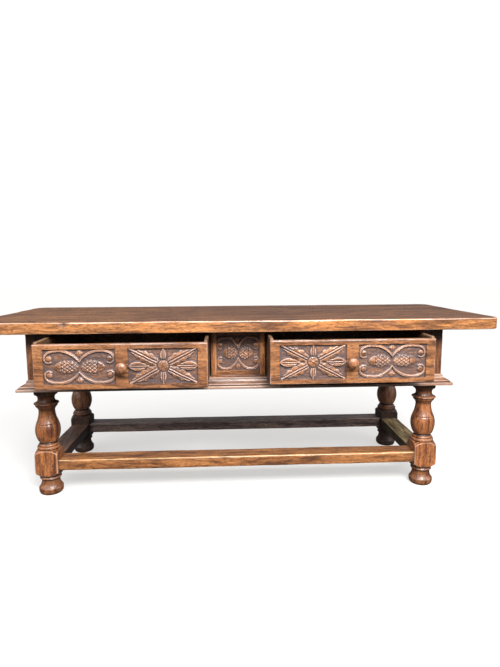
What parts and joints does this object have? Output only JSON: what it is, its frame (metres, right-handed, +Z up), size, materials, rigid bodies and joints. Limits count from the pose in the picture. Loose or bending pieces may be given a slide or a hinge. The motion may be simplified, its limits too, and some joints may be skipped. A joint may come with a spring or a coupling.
{
  "type": "communion table",
  "caption": "Long table with a thick plank top on turned legs joined by box stretchers, with a moulded case and carved drawers that slide out to the front.",
  "frame": {"origin": "on the floor, under the middle of the whole box with both drawers as drawn out at rest", "axes": "+X along the table to the right when facing its front, -Y to the front where the drawers open, +Z up"},
  "size_m": [2.16, 0.9534, 0.764],
  "materials": {
    "top_wood": "waxed gloss",
    "case_wood": "waxed satin",
    "leg_wood": "waxed gloss",
    "carved_wood": "waxed satin",
    "lining_wood": "dry",
    "peg_wood": "waxed satin"
  },
  "bodies": {
    "table": {"top_plank": "top_wood", "leg_front_left": "leg_wood", "leg_front_right": "leg_wood", "leg_rear_left": "leg_wood", "leg_rear_right": "leg_wood", "stretcher_front": "leg_wood", "stretcher_rear": "leg_wood", "stretcher_left": "leg_wood", "stretcher_right": "leg_wood", "peg_front_left_face": "peg_wood", "peg_front_left_end": "peg_wood", "peg_front_right_face": "peg_wood", "peg_front_right_end": "peg_wood", "peg_rear_left_face": "peg_wood", "peg_rear_left_end": "peg_wood", "peg_rear_right_face": "peg_wood", "peg_rear_right_end": "peg_wood", "rear_apron": "case_wood", "end_apron_left": "case_wood", "end_apron_right": "case_wood", "front_bottom_rail": "case_wood", "centre_stile_left": "case_wood", "centre_stile_right": "case_wood", "centre_panel": "carved_wood", "moulding_front": "case_wood", "moulding_rear": "case_wood", "moulding_left": "case_wood", "moulding_right": "case_wood", "runner_left_outer": "lining_wood", "guide_left_outer": "lining_wood", "runner_left_inner": "lining_wood", "guide_left_inner": "lining_wood", "runner_right_outer": "lining_wood", "guide_right_outer": "lining_wood", "runner_right_inner": "lining_wood", "guide_right_inner": "lining_wood", "top_peg_front_left": "peg_wood", "top_peg_front_right": "peg_wood", "top_peg_rear_left": "peg_wood", "top_peg_rear_right": "peg_wood"},
    "left_drawer": {"left_drawer_front": "carved_wood", "left_drawer_side_outer": "lining_wood", "left_drawer_side_inner": "lining_wood", "left_drawer_back": "lining_wood", "left_drawer_bottom": "lining_wood", "left_drawer_knob": "carved_wood"},
    "right_drawer": {"right_drawer_front": "carved_wood", "right_drawer_side_outer": "lining_wood", "right_drawer_side_inner": "lining_wood", "right_drawer_back": "lining_wood", "right_drawer_bottom": "lining_wood", "right_drawer_knob": "carved_wood"}
  },
  "joints": [
    {"name": "left_drawer_slide", "type": "slide", "parent": "table", "child": "left_drawer", "axis": [0, -1, 0], "range_m": [-0.212, 0.208]},
    {"name": "right_drawer_slide", "type": "slide", "parent": "table", "child": "right_drawer", "axis": [0, -1, 0], "range_m": [-0.183, 0.237]}
  ]
}
